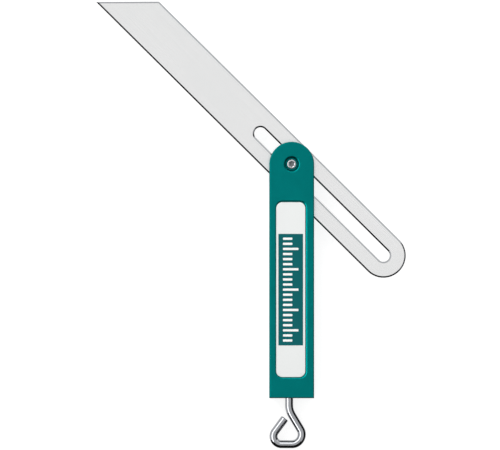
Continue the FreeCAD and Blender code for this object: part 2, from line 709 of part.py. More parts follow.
def make_lock_hook():
    """The lock hook: one length of wire, straight and threaded at the top and bent to a loop below."""
    body = new_body("lock_hook")
    tail = "-dims.tail_reach"
    corners = [
        ("-dims.rod_shift", "-dims.shank_top"),
        ("-dims.rod_shift", f"{tail} - dims.neck_drop"),
        ("dims.right_side", f"{tail} - dims.right_drop"),
        ("-dims.left_side", f"{tail} - dims.left_drop"),
        ("-dims.end_side", f"{tail} - dims.end_drop"),
    ]
    bends = ["dims.neck_bend", "dims.right_bend", "dims.left_bend"]
    points = [at(corner) for corner in corners]
    rounds = [corner_arc(*points[i : i + 3], number(bend)) for i, bend in enumerate(bends)]
    stops = [points[0], *[p for _, first, last, _ in rounds for p in (first, last)], points[-1]]
    path = new_sketch(body, "hook_path", offset="dims.rod_height")
    runs = [path.addGeometry(Part.LineSegment(stops[2 * i], stops[2 * i + 1]), False) for i in range(4)]
    rules = []
    for i, (arc, _, _, turns_left) in enumerate(rounds):
        bend = path.addGeometry(arc, False)
        mark = path.addGeometry(Part.Point(points[i + 1]), True)
        starts, ends = (1, 2) if turns_left else (2, 1)
        rules += [
            ("Tangent", (runs[i], 2, bend, starts), None),
            ("Tangent", (bend, ends, runs[i + 1], 1), None),
            ("Radius", (bend,), bends[i]),
            ("PointOnObject", (mark, 1, runs[i]), None),
            ("PointOnObject", (mark, 1, runs[i + 1]), None),
            ("DistanceX", (-1, 1, mark, 1), corners[i + 1][0]),
            ("DistanceY", (-1, 1, mark, 1), corners[i + 1][1]),
        ]
    for run, point, corner in ((runs[0], 1, corners[0]), (runs[3], 2, corners[4])):
        rules += [("DistanceX", (-1, 1, run, point), corner[0]), ("DistanceY", (-1, 1, run, point), corner[1])]
    bind_together(path, rules)

    wire = new_sketch(body, "hook_wire", role="XZ_Plane", offset="dims.shank_top")
    draw_circle(wire, ("-dims.rod_shift", "dims.rod_height"), "dims.rod_size")
    pipe = body.newObject("PartDesign::AdditivePipe", "Pipe")
    pipe.Profile = wire
    pipe.Spine = (path, [f"Edge{i}" for i in range(1, 8)])
    doc.recompute()

    end = FreeCAD.Vector(points[4].x, points[4].y, number("dims.rod_height"))
    top = FreeCAD.Vector(points[0].x, points[0].y, number("dims.rod_height"))

    def on_an_end(edge):
        """True for the circles at the wire's two ends."""
        middle = edge.BoundBox.Center
        whole = edge.BoundBox.DiagonalLength > number("dims.rod_size")
        return whole and min(middle.distanceToPoint(end), middle.distanceToPoint(top)) < 0.05

    dress(body, "Chamfer", pipe, on_an_end, "dims.wire_chamfer")


# ---- build, check and write ----


def check_document():
    """Stops on any object that failed to recompute."""
    for thing in doc.Objects:
        if "Invalid" in thing.State or "Error" in thing.State:
            raise RuntimeError(f"{thing.Name} failed: {thing.State}")


def write_parts():
    """Writes each sub-part's shape to its own STEP file."""
    os.makedirs(PARTS_FOLDER, exist_ok=True)
    for part in subparts:
        shape = part.Shape
        if shape.isNull() or not shape.isValid() or not shape.Solids:
            raise RuntimeError(f"{part.Label} has no valid solid")
        shape.exportStep(os.path.join(PARTS_FOLDER, f"{part.Label}.step"))
        box = shape.BoundBox
        size = f"{box.XLength:.2f} x {box.YLength:.2f} x {box.ZLength:.2f} mm"
        print(f"{part.Label}: {len(shape.Solids)} solid(s), {shape.Volume:.1f} mm3, {size}")


make_front_cheek()
make_back_cheek()
make_end_spacer()
make_tail_screws()
make_label_plate()
make_label_panel()
make_pivot_barrel()
make_pivot_screw()
make_slot_slider()
make_friction_washer("friction_washer_back", "dims.back_thick + dims.washer_air")
make_friction_washer("friction_washer_front", f"{FRONT_START} - dims.washer_air - dims.washer_thick")
make_blade()
make_push_rod()
make_return_spring()
make_thread_bush()
make_lock_hook()
doc.recompute()
check_document()
write_parts()
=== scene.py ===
"""The looks of a sliding bevel gauge, built around the fixed frame of its design."""

import math

import bmesh
import bpy
import numpy as np
from bpy.props import FloatProperty, FloatVectorProperty, IntProperty, PointerProperty
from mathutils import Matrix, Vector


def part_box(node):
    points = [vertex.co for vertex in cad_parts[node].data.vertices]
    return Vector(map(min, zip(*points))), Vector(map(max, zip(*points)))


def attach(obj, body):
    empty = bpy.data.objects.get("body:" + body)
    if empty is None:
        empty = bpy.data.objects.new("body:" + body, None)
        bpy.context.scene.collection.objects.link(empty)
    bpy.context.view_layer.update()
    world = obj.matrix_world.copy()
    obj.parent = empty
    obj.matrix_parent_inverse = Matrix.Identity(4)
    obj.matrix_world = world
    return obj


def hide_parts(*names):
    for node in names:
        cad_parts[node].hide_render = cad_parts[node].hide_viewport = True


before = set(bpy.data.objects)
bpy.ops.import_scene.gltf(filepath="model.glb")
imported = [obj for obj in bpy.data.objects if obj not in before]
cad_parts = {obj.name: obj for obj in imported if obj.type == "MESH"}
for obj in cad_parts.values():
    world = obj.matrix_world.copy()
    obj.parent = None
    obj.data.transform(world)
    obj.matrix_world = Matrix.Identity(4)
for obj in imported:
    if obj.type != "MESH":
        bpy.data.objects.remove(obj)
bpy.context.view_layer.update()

bl_info = {
    "name": "Sliding bevel gauge",
    "version": (1, 0, 0),
    "blender": (4, 5, 0),
    "location": "3D View > Sidebar > Bevel gauge",
    "description": "Builds the pieces, finishes and stage of a sliding bevel gauge",
    "category": "Add Mesh",
}

MM = 0.001
# Points closer than this, in metres, are one point once a piece's surfaces are joined.
WELD = 2e-6


# ---- sizes and colours a user may change ----


def linear(code):
    """The linear-light colour of an sRGB hex code."""
    parts = np.array([int(code[i : i + 2], 16) for i in (1, 3, 5)]) / 255
    return tuple(np.where(parts <= 0.04045, parts / 12.92, ((parts + 0.055) / 1.055) ** 2.4))


def length(name, description, millimetres):
    """A length property with its default in millimetres."""
    return FloatProperty(
        name=name, description=description, default=millimetres * MM, min=0, unit="LENGTH", subtype="DISTANCE"
    )


def colour(name, description, code):
    """A colour property with its default as an sRGB hex code."""
    return FloatVectorProperty(
        name=name, description=description, default=linear(code), size=3, min=0, max=1, subtype="COLOR"
    )


def spans(node):
    """A CAD node's lowest and highest corner in millimetres."""
    return [np.round(np.array(corner) / MM, 3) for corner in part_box(node)]


def levels(node):
    """A CAD node's lowest and highest level in millimetres."""
    return [float(corner[2]) for corner in spans(node)]


BACK_LOW, BACK_HIGH = spans("back_cheek")
PLATE_LOW, PLATE_HIGH = spans("label_plate")
PANEL_LOW, PANEL_HIGH = spans("label_panel")


class HandleSizes(bpy.types.PropertyGroup):
    """Sizes of the handle's own pieces."""

    outer_round: length("Outer rounding", "Rounding of the cheeks' outer edges", 0.5)
    inner_round: length("Inner rounding", "Broken edge on the blade's side of the cheeks", 0.1)
    dish_round: length("Dish rounding", "Rounding of the pivot dish's rim", 1.1)
    recess_lip: length("Recess lip", "Width of the cut bevel round the label recess", 0.42)
    recess_corner: length("Recess corner", "Corner radius of the label recess", 3.3)
    plate_corner: length("Label corner", "Corner radius of the label plate", 3.0)
    tick_pitch: length("Graduation pitch", "Distance between printed graduations", 2.5)
    tick_width: length("Graduation width", "Width of a printed graduation", 1.1)


class BladeSizes(bpy.types.PropertyGroup):
    """Sizes of the blade and of what turns with it."""

    width: length("Blade width", "Width of the blade", 22.0)
    slot_width: length("Slot width", "Width of the blade's slot", 6.2)
    slot_up: length("Slot towards the mitre", "Pivot axis to the slot's end centre at the mitre's side", 21.6)
    slot_down: length("Slot towards the round end", "Pivot axis to the centre of the blade's round end", 63.8)
    mitre_reach: length("Mitre reach", "Pivot axis to the middle of the mitred end", 113.95)
    edge_width: length("Edge bevel", "Width of the ground bevel along the edges, seen from the front", 0.75)
    edge_depth: length("Edge bevel depth", "Depth of the ground bevel", 0.46)
    rest_angle: FloatProperty(
        name="Rest angle",
        description="Turn of the blade from the handle's line",
        default=math.radians(45.25),
        subtype="ANGLE",
    )


class HookSizes(bpy.types.PropertyGroup):
    """Sizes of the lock hook's wire."""

    wire: length("Wire", "Diameter of the hook's wire", 4.0)
    chamfer: length("Wire end", "Chamfer on the wire's two ends", 0.3)
    around: IntProperty(name="Facets", description="Facets around the wire", default=64, min=12)


class FinishColours(bpy.types.PropertyGroup):
    """Colours of the finishes."""

    teal: colour("Anodised teal", "Dye in the handle's anodised layer", "#037271")
    panel: colour("Panel ink", "Printed panel on the label", "#055E61")
    label: colour("Label", "Lacquer of the label plate", "#E6E8E7")
    ink: colour("Graduation ink", "Printed graduations", "#F4F5F4")
    blade: colour("Blade steel", "Brushed stainless steel", "#FCFDFD")
    edge: colour("Blade edge", "Ground bevels of the blade", "#B9BBBE")
    chrome: colour("Chrome", "Plating of the hook", "#ADAFB3")
    # Darker than the turned steel: this colour paints the shade that falls inside the pivot screw's socket.
    socket: colour("Socket", "Broached socket of the pivot screw", "#6A6C6F")
    brass: colour("Brass", "Thread bush and slider", "#C9A35A")
    zinc: colour("Zinc", "Plating of the tail screws", "#B9BEC6")
    turned: colour("Turned steel", "Pivot screw and barrel", "#B6B8BB")
    aluminium: colour("Aluminium", "Spacer between the cheeks", "#D9DBDD")
    nylon: colour("Nylon", "Friction washers", "#E9E6DC")


GROUPS = {
    "gauge_handle": HandleSizes,
    "gauge_blade": BladeSizes,
    "gauge_hook": HookSizes,
    "gauge_colours": FinishColours,
}


def sizes(group):
    """The group's lengths in millimetres, by name."""
    values = getattr(bpy.context.scene, group)
    return {
        key: round(getattr(values, key) / MM, 4)
        for key, kind in GROUPS[group].bl_rna.properties.items()
        if getattr(kind, "unit", "") == "LENGTH"
    }


def tone(name):
    """A finish's colour as the scene holds it."""
    return tuple(getattr(bpy.context.scene.gauge_colours, name))


# ---- outlines, in millimetres ----


def run(start, end, step=1.0):
    """A straight run: start + t * (end - start), t in equal steps from 0 up to but not including 1."""
    start, end = np.asarray(start, float), np.asarray(end, float)
    count = max(1, round(float(np.linalg.norm(end - start)) / step))
    return start + (end - start) * np.arange(count)[:, None] / count


def closed_runs(corners, step=1.0):
    """The runs from each corner to the next, and back to the first."""
    return np.concatenate([run(a, b, step) for a, b in zip(corners, corners[1:] + corners[:1])])


def tile(left, right, low, high, step=1.0):
    """A rectangle, anticlockwise from its lower left corner."""
    return closed_runs([(left, low), (right, low), (right, high), (left, high)], step)


def arc(centre, radius, first, last, count):
    """An arc: centre + radius * (cos a, sin a), a in equal steps from first up to but not including last."""
    turn = first + (last - first) * np.arange(count) / count
    return np.asarray(centre) + radius * np.column_stack([np.cos(turn), np.sin(turn)])


def round_headed(half, foot):
    """A handle's outline: a half circle about the origin, and straight sides down to the foot."""
    head = arc((0, 0), half, 0, np.pi, 72)
    corners = [(-half, 0), (-half, foot), (half, foot), (half, 0)]
    return np.concatenate([head, *(run(a, b) for a, b in zip(corners, corners[1:]))])


def drawn_in(points, inset, half, foot):
    """Outline points moved in by inset: towards the pivot on the head, square to the sides and foot."""
    shrink = np.where(points[:, 1] > 0, (half - inset) / half, 1.0)[:, None]
    x, y = (points * shrink).T
    return np.column_stack([np.clip(x, inset - half, half - inset), np.maximum(y, foot + inset)])


def nearest_rim(points, low, high, radius):
    """The nearest points of a rounded box: each point clamped to the core, plus radius towards the point."""
    core = np.clip(points, low, high)
    away = points - core
    return core + radius * away / np.linalg.norm(away, axis=1)[:, None]


def outwards(loop):
    """Mitred outward normals: the sum of the two sides' normals over one plus their cosine."""
    side = np.roll(loop, -1, 0) - loop
    normal = np.column_stack([side[:, 1], -side[:, 0]]) / np.linalg.norm(side, axis=1)[:, None]
    before = np.roll(normal, 1, 0)
    return (normal + before) / (1 + (normal * before).sum(1))[:, None]


def edge(width, face, towards, depth=None, steps=5):
    """A quarter-ellipse edge as (inset, height) pairs, from the face to the wall.

    inset = width * (1 - sin a) and height = face + towards * depth * (1 - cos a), a from 0 to 90 degrees."""
    depth = width if depth is None else depth
    turn = np.linspace(0, np.pi / 2, steps + 1)
    return list(zip(width * (1 - np.sin(turn)), face + towards * depth * (1 - np.cos(turn))))


# ---- surfaces ----


def lay(loop, height):
    """An outline at one height."""
    return np.column_stack([loop, np.full(len(loop), float(height))])


def turned(loop, angle):
    """An outline turned anticlockwise about the origin."""
    cos, sin = math.cos(angle), math.sin(angle)
    return loop @ np.array([[cos, sin], [-sin, cos]])


def revolved(profile, spokes, centre=(0, 0)):
    """A profile of (radius, height) pairs carried round: centre + radius * spoke.

    A radius is one number, or one for each spoke."""
    centre = np.asarray(centre)
    return np.stack([lay(centre + np.reshape(radius, (-1, 1)) * spokes, height) for radius, height in profile])


def spokes_to(points, centre):
    """Unit directions from a centre to the points."""
    away = points - np.asarray(centre)
    return away / np.linalg.norm(away, axis=1)[:, None]


def even_spokes(count):
    """Unit directions in equal steps round a circle."""
    return arc((0, 0), 1.0, 0, 2 * np.pi, count)


def quads(rows, columns, wraps):
    """The grid's faces: point (i, j) with its neighbours at i + 1 and j + 1, row after row."""
    i, j = np.meshgrid(np.arange(rows - 1), np.arange(columns if wraps else columns - 1), indexing="ij")
    after = (j + 1) % columns
    corners = [i * columns + j, i * columns + after, (i + 1) * columns + after, (i + 1) * columns + j]
    return np.stack(corners, axis=-1).reshape(-1, 4)


def surface_mesh(name, surfaces, sharp=35.0):
    """Joins grids of points into one closed mesh, in metres, with its faces turned outwards.

    A surface is rows of closed loops, or a pair of such rows and False where the loops stay open."""
    vertices, faces, start = [], [], 0
    for surface in surfaces:
        points, wraps = surface if isinstance(surface, tuple) else (surface, True)
        rows, columns = points.shape[:2]
        faces.append(quads(rows, columns, wraps) + start)
        vertices.append(points.reshape(-1, 3))
        start += rows * columns
    mesh = bpy.data.meshes.new(name)
    mesh.from_pydata((np.concatenate(vertices) * MM).tolist(), [], np.concatenate(faces).tolist())
    work = bmesh.new()
    work.from_mesh(mesh)
    bmesh.ops.remove_doubles(work, verts=work.verts, dist=WELD)
    bmesh.ops.dissolve_degenerate(work, edges=work.edges, dist=WELD)
    loose = [vertex for vertex in work.verts if not vertex.link_faces]
    bmesh.ops.delete(work, geom=loose, context="VERTS")
    bmesh.ops.recalc_face_normals(work, faces=work.faces)
    if any(not e.is_manifold for e in work.edges):
        raise RuntimeError(f"{name} has open seams: {sum(not e.is_manifold for e in work.edges)}")
    if work.calc_volume(signed=True) < 0:
        bmesh.ops.reverse_faces(work, faces=work.faces)
    work.to_mesh(mesh)
    work.free()
    mesh.shade_smooth()
    mesh.set_sharp_from_angle(angle=math.radians(sharp))
    return mesh


def face_facts(mesh):
    """The faces' centres in millimetres, and their normals, as whole arrays."""
    centres, normals = (np.empty(3 * len(mesh.polygons)) for _ in range(2))
    mesh.polygons.foreach_get("center", centres)
    mesh.polygons.foreach_get("normal", normals)
    return centres.reshape(-1, 3) / MM, normals.reshape(-1, 3)


def add_piece(name, surfaces, material, body, nodes=(), sharp=35.0, accent=None):
    """Makes one visible piece that rides on a body and stands for its CAD nodes.

    accent is a second finish and the test that picks its faces from their centres and normals."""
    piece = bpy.data.objects.new(name, surface_mesh(name, surfaces, sharp))
    bpy.context.scene.collection.objects.link(piece)
    piece.data.materials.append(material)
    if accent:
        piece.data.materials.append(accent[0])
        chosen = accent[1](*face_facts(piece.data))
        piece.data.polygons.foreach_set("material_index", chosen.astype(np.int32))
    even = piece.modifiers.new("even_shading", "WEIGHTED_NORMAL")
    even.keep_sharp = True
    even.weight = 100
    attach(piece, body)
    if nodes:
        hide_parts(*nodes)
    return piece


# ---- finishes ----


def add_node(tree, kind, inputs=None, **settings):
    """Adds a node with its settings. An input that is a socket is linked, and any other is set."""
    made = tree.nodes.new(kind)
    for key, value in settings.items():
        setattr(made, key, value)
    for key, value in (inputs or {}).items():
        if isinstance(value, bpy.types.NodeSocket):
            tree.links.new(value, made.inputs[key])
        else:
            made.inputs[key].default_value = value
    return made


def finish(
    name, base, rough, metal, grain, depth, spread=0.05, swing=0.06, mottle=9.0, turn=0.0, **shader_values
):
    """A finish with a grain. All lengths are in millimetres.

    grain is the grain's size along x, y and z after a turn about z, and depth its height. The tone
    varies by spread with the grain and a broad mottle, and the roughness by swing."""
    material = bpy.data.materials.new(name)
    material.use_nodes = True
    tree = material.node_tree
    shader = tree.nodes["Principled BSDF"]
    place = add_node(tree, "ShaderNodeTexCoord").outputs["Object"]
    along = add_node(
        tree,
        "ShaderNodeMapping",
        {"Vector": place, "Rotation": (0, 0, turn), "Scale": [size * MM for size in grain]},
        vector_type="TEXTURE",
    )
    fine = add_node(tree, "ShaderNodeTexNoise", {"Vector": along.outputs[0], "Scale": 1.0, "Detail": 3.0})
    broad = add_node(tree, "ShaderNodeTexNoise", {"Vector": place, "Scale": 1 / (mottle * MM), "Detail": 2.0})
    both = add_node(tree, "ShaderNodeMath", {0: fine.outputs[0], 1: broad.outputs[0]}, operation="ADD")
    # Two noises about 0.5 add up to about 1, and seldom leave this range.
    noise_range = {"Value": both.outputs[0], "From Min": 0.7, "From Max": 1.3}
    share = add_node(tree, "ShaderNodeMapRange", noise_range)
    tones = [tuple(min(1.0, part * (1 + way * spread)) for part in base) + (1.0,) for way in (-1, 1)]
    # A Mix node's inputs 6 and 7, and its output 2, are the colour ones.
    mixed = add_node(tree, "ShaderNodeMix", {0: share.outputs[0], 6: tones[0], 7: tones[1]}, data_type="RGBA")
    gloss_range = {**noise_range, "To Min": rough - swing, "To Max": rough + swing}
    gloss = add_node(tree, "ShaderNodeMapRange", gloss_range)
    height = {"Height": fine.outputs[0], "Distance": depth * MM, "Strength": 1.0}
    bump = add_node(tree, "ShaderNodeBump", height)
    tree.links.new(mixed.outputs[2], shader.inputs["Base Color"])
    tree.links.new(gloss.outputs[0], shader.inputs["Roughness"])
    tree.links.new(bump.outputs[0], shader.inputs["Normal"])
    shader.inputs["Metallic"].default_value = metal
    for key, value in shader_values.items():
        shader.inputs[key.replace("_", " ")].default_value = value
    return material


def anodised_aluminium():
    """Bead-blasted, dyed and sealed aluminium: tinted metal under a matt, even, very fine grain.

    The blast grain is about 0.1 mm, drawn at 0.3 mm so that it shows."""
    grain = (0.3, 0.3, 0.3)
    return finish("anodised_aluminium_teal", tone("teal"), 0.46, 1.0, grain, 0.012, spread=0.06, swing=0.05)


def cut_anodised():
    """The same anodised aluminium where it is cut and not blasted: smoother, so it mirrors more of the light.

    The cutter's marks are 0.15 mm apart."""
    grain = (0.15, 0.15, 0.15)
    return finish("cut_aluminium_teal", tone("teal"), 0.3, 1.0, grain, 0.004, spread=0.06, swing=0.05)


def brushed_stainless():
    """Stainless strip, ground along its length: pale metal with long hair-fine scratches.

    The scratches are 0.05 mm wide, drawn at 0.16 mm, and about 30 mm long."""
    return finish(
        "brushed_stainless_steel",
        tone("blade"),
        0.25,
        1.0,
        (0.16, 30.0, 0.16),
        0.0012,
        spread=0.03,
        swing=0.03,
        mottle=30.0,
        turn=bpy.context.scene.gauge_blade.rest_angle,
    )


def lacquered_label():
    """Lacquered plate: satin off-white with a faint 0.5 mm orange peel."""
    peel = (0.5, 0.5, 0.5)
    return finish(
        "lacquered_plate_white", tone("label"), 0.42, 0.0, peel, 0.003, spread=0.012, swing=0.05, mottle=14.0
    )


def printed_ink(name, shade):
    """Screen-printed ink: a flat coat with the mesh's 0.25 mm texture left in its surface."""
    mesh = (0.25, 0.25, 0.25)
    return finish(name, shade, 0.6, 0.0, mesh, 0.004, mottle=5.0, Specular_IOR_Level=0.08)


def bright_chrome():
    """Bright chrome on drawn wire: mirror-like, with a slight ripple left by drawing and bending."""
    ripple = (0.7, 3.0, 0.7)
    return finish(
        "bright_chrome", tone("chrome"), 0.09, 1.0, ripple, 0.002, spread=0.03, swing=0.03, mottle=4.0
    )


def turned_metal(name, shade, rough):
    """Turned metal: a satin surface with fine feed marks, about 0.12 mm apart, drawn at 0.2 mm."""
    return finish(name, shade, rough, 1.0, (0.2, 0.2, 0.2), 0.003, swing=0.07, mottle=2.0)


def zinc_plate():
    """Bright zinc on steel: bluish and slightly cloudy, with spangle about 0.5 mm across."""
    spangle = (0.5, 0.5, 0.5)
    return finish(
        "zinc_plated_steel", tone("zinc"), 0.3, 1.0, spangle, 0.003, spread=0.1, swing=0.08, mottle=1.5
    )


def moulded_nylon():
    """Moulded nylon: waxy, off-white and faintly uneven, with a 0.3 mm grain."""
    return finish("moulded_nylon", tone("nylon"), 0.5, 0.0, (0.3, 0.3, 0.3), 0.004, spread=0.03, mottle=3.0)


# ---- the handle ----

SPLIT = -13.0
TAIL_SPLIT = -101.0
TAIL_SCREWS = ((-7.4, -108.0), (7.4, -108.0))
HALF = float(BACK_HIGH[0])
FOOT = float(BACK_LOW[1])
# Radii: the screws' clearance, threaded hole and shank, and how far their countersinks widen.
SCREW_PASSAGE = 1.6
SCREW_THREAD = 1.475
SCREW_SHANK = 1.45
SUNK = 1.45
# Radii of the barrel's bore and of its neck's, and of the dish over the pivot screw.
BORE = 3.03
NECK_BORE = 2.53
DISH = 3.15
# The pivot screw's seat and its underside, and the end of the tail screws' holes, as levels.
SEAT = 13.0
SEAT_UNDER = 11.6
TAIL_HOLE_TOP = 12.6
# The rod's and the hook's axis, as x and z.
ROD_AXIS = (-1.15, 3.5)
# The label recess: its middle, its size and its depth.
RECESS_MIDDLE = np.array([-0.3, -61.65])
RECESS_SIZE = np.array([14.9, 86.7])
RECESS_DEPTH = 0.9


def head_tile():
    """The part of a cheek's face above the split: the round head, its sides and the split line."""
    head = arc((0, 0), HALF, 0, np.pi, 72)
    corners = [(-HALF, 0), (-HALF, SPLIT), (HALF, SPLIT), (HALF, 0)]
    return np.concatenate([head, *(run(a, b) for a, b in zip(corners, corners[1:]))])


def tail_tiles():
    """The two halves of a cheek's tail, each with its screw's centre."""
    halves = tile(-HALF, 0, FOOT, TAIL_SPLIT), tile(0, HALF, FOOT, TAIL_SPLIT)
    return list(zip(halves, TAIL_SCREWS))


def inset_grid(low, high, inset, height):
    """A flat grid between two levels of a cheek, its sides drawn in."""
    across = np.clip(np.linspace(-HALF, HALF, round(2 * HALF) + 1), inset - HALF, HALF - inset)
    x, y = np.meshgrid(across, np.linspace(low, high, round(high - low) + 1))
    return np.stack([x, y, np.full_like(x, height)], axis=-1), False


def holed_face(height, inset, head_hole, tail_hole):
    """A cheek's flat face: rings from the head and tail outlines to their holes, and a grid between them."""
    surfaces = [inset_grid(TAIL_SPLIT, SPLIT, inset, height)]
    holes = [(head_tile(), (0, 0), head_hole)] + [(t, c, tail_hole) for t, c in tail_tiles()]
    for outline, centre, radius in holes:
        rim = np.asarray(centre) + radius * spokes_to(outline, centre)
        surfaces.append(np.stack([lay(drawn_in(outline, inset, HALF, FOOT), height), lay(rim, height)]))
    return surfaces


def front_cheek_surfaces():
    """The front cheek: outline band, dished pivot seat, label recess and the holed face by the blade."""
    size = sizes("gauge_handle")
    low, high = levels("front_cheek")
    profile = edge(size["outer_round"], high, -1) + edge(size["inner_round"], low, 1)[::-1]
    outline = round_headed(HALF, FOOT)
    surfaces = [np.stack([lay(drawn_in(outline, inset, HALF, FOOT), z) for inset, z in profile])]
    surfaces += holed_face(low, size["inner_round"], NECK_BORE, SCREW_THREAD)
    tail_hole = [(SCREW_THREAD, low), (SCREW_THREAD, TAIL_HOLE_TOP), (0, TAIL_HOLE_TOP + 0.2)]
    surfaces += [revolved(tail_hole, spokes_to(t, c), c) for t, c in tail_tiles()]

    # The pivot dish, from its rounded rim down to the seat and through to the barrel's bore.
    head = head_tile()
    dish = size["dish_round"]
    broken = 0.15
    dish_profile = [(DISH + inset, z) for inset, z in edge(dish, high, -1, steps=12)]
    dish_profile += [(DISH, SEAT + broken), (DISH - broken, SEAT), (SCREW_PASSAGE, SEAT)]
    dish_profile += [(SCREW_PASSAGE, SEAT_UNDER), (NECK_BORE, SEAT_UNDER), (NECK_BORE, low)]
    surfaces.append(revolved(dish_profile, spokes_to(head, (0, 0))))
    face = lay(drawn_in(head, size["outer_round"], HALF, FOOT), high)
    surfaces.append(np.stack([face, lay((DISH + dish) * spokes_to(head, (0, 0)), high)]))

    # The label recess: a lip, a wall and a floor that closes on the recess's middle line.
    corner, lip, floor = size["recess_corner"], size["recess_lip"], high - RECESS_DEPTH
    core_low = RECESS_MIDDLE - RECESS_SIZE / 2 + corner
    core_high = RECESS_MIDDLE + RECESS_SIZE / 2 - corner
    lower = tile(-HALF, HALF, FOOT, SPLIT)
    rows = [lay(drawn_in(lower, size["outer_round"], HALF, FOOT), high)]
    deep = 0.45 * lip
    bevel = [(lip + 0.04, high), (lip, high - 0.02), (0.02, high - deep), (0.0, high - deep - 0.06)]
    rows += [lay(nearest_rim(lower, core_low, core_high, corner + inset), z) for inset, z in bevel]
    rows += [lay(nearest_rim(lower, core_low, core_high, corner), floor)]
    surfaces.append(np.stack(rows + medial_rows(lower, core_low, core_high, floor)))
    return surfaces


def medial_rows(outline, core_low, core_high, height):
    """Two rows that close a rounded rectangle: its core's rim, and the core's middle line."""
    half = (core_high[0] - core_low[0]) / 2
    middle_low, middle_high = core_low + half, core_high - half
    return [
        lay(np.clip(outline, core_low, core_high), height),
        lay(np.clip(outline, middle_low, middle_high), height),
    ]


def back_cheek_surfaces():
    """The back cheek: open band and foot, both holed faces, and the bores for barrel, screws and rod."""
    size = sizes("gauge_handle")
    low, high = levels("back_cheek")
    lower_edge = edge(size["outer_round"], low, 1)
    upper_edge = edge(size["inner_round"], high, -1)[::-1]
    walls = [(0.0, z) for z in np.linspace(lower_edge[-1][1], upper_edge[0][1], 9)[1:-1]]
    profile = lower_edge + walls + upper_edge
    outline = round_headed(HALF, FOOT)
    foot_count = round(2 * HALF)
    from_right = np.roll(outline, -int(np.argmin(np.hypot(outline[:, 0] - HALF, outline[:, 1] - FOOT))), 0)
    round_side = from_right[: len(outline) - foot_count + 1]
    foot = np.concatenate([from_right[len(outline) - foot_count :], from_right[:1]])

    def band(points, rows):
        """Outline points carried down a list of (inset, height) pairs."""
        return np.stack([lay(drawn_in(points, inset, HALF, FOOT), z) for inset, z in rows]), False

    surfaces = [band(round_side, profile), band(foot, lower_edge), band(foot, upper_edge)]

    # The foot's flat, joined to the bush seat; (x, z) outlines turned up onto the foot.
    heights = np.array([z for _, z in [lower_edge[-1]] + walls + [upper_edge[0]]])
    across = foot[:, 0]
    flat = np.concatenate(
        [
            np.column_stack([across[:-1], np.full(len(across) - 1, heights[0])]),
            np.column_stack([np.full(len(heights) - 1, HALF), heights[:-1]]),
            np.column_stack([across[:0:-1], np.full(len(across) - 1, heights[-1])]),
            np.column_stack([np.full(len(heights) - 1, -HALF), heights[:0:-1]]),
        ]
    )
    # The bush's seat with its broken edge, then the rod's wider and narrower bore.
    bore = [(3.0, 0.0), (2.81, 0.19), (2.81, 9.1), (2.65, 9.1), (2.65, 90.0)]
    bore += [(2.05, 90.0), (2.05, 111.6), (0, 111.6)]
    rows = np.concatenate([lay(flat, 0.0)[None], revolved(bore, spokes_to(flat, ROD_AXIS), ROD_AXIS)])
    surfaces.append(stood_on_foot(rows, FOOT))

    chamfer = 0.3
    surfaces += holed_face(low, size["outer_round"], BORE + chamfer, SCREW_PASSAGE + SUNK)
    surfaces += holed_face(high, size["inner_round"], BORE, SCREW_PASSAGE)
    barrel = [(BORE + chamfer, low), (BORE, low + chamfer), (BORE, high)]
    surfaces.append(revolved(barrel, spokes_to(head_tile(), (0, 0))))
    countersink = [(SCREW_PASSAGE + SUNK, low), (SCREW_PASSAGE, low + SUNK), (SCREW_PASSAGE, high)]
    surfaces += [revolved(countersink, spokes_to(t, c), c) for t, c in tail_tiles()]
    return surfaces


def stood_on_foot(points, foot):
    """Points of (x, z, depth) as (x, foot + depth, z)."""
    return np.stack([points[..., 0], foot + points[..., 2], points[..., 1]], axis=-1)


def spacer_surfaces():
    """The end spacer: a banded rectangle with two screw holes."""
    (left, near, bottom), (right, far, top) = (map(float, corner) for corner in spans("end_spacer"))
    broken = 0.15
    profile = edge(broken, top, -1, steps=3) + edge(broken, bottom, 1, steps=3)[::-1]
    steps = (right / 10, (far - near) / 15) * 2

    def rectangle(a, b):
        """The spacer's outline between two sides, in steps that match on the whole and on its halves."""
        corners = [(a, near), (b, near), (b, far), (a, far)]
        sides = zip(corners, corners[1:] + corners[:1], steps)
        return np.concatenate([run(start, end, step) for start, end, step in sides])

    def shrunk(points, inset):
        """Points clamped to the rectangle drawn in by inset."""
        return np.clip(points, (left + inset, near + inset), (right - inset, far - inset))

    outline = rectangle(left, right)
    surfaces = [np.stack([lay(shrunk(outline, inset), z) for inset, z in profile])]
    for half, centre in zip((rectangle(left, 0.0), rectangle(0.0, right)), TAIL_SCREWS):
        hole = revolved([(SCREW_PASSAGE, top), (SCREW_PASSAGE, bottom)], spokes_to(half, centre), centre)
        faces = [lay(shrunk(half, broken), z)[None] for z in (top, bottom)]
        surfaces.append(np.concatenate([faces[0], hole, faces[1]]))
    return surfaces


def plate_surfaces(low, high, corner, edge_width):
    """A rounded rectangle with softened upper edges, closed on its middle line above and below."""
    around = tile(-HALF, HALF, FOOT, SPLIT)
    core_low, core_high = low[:2] + corner, high[:2] - corner
    profile = edge(edge_width, float(high[2]), -1, steps=4) + [(0.0, float(low[2]))]
    rows = [lay(nearest_rim(around, core_low, core_high, corner - inset), z) for inset, z in profile]
    above = medial_rows(around, core_low, core_high, float(high[2]))[::-1]
    below = medial_rows(around, core_low, core_high, float(low[2]))
    return [np.stack(above + rows + below)]


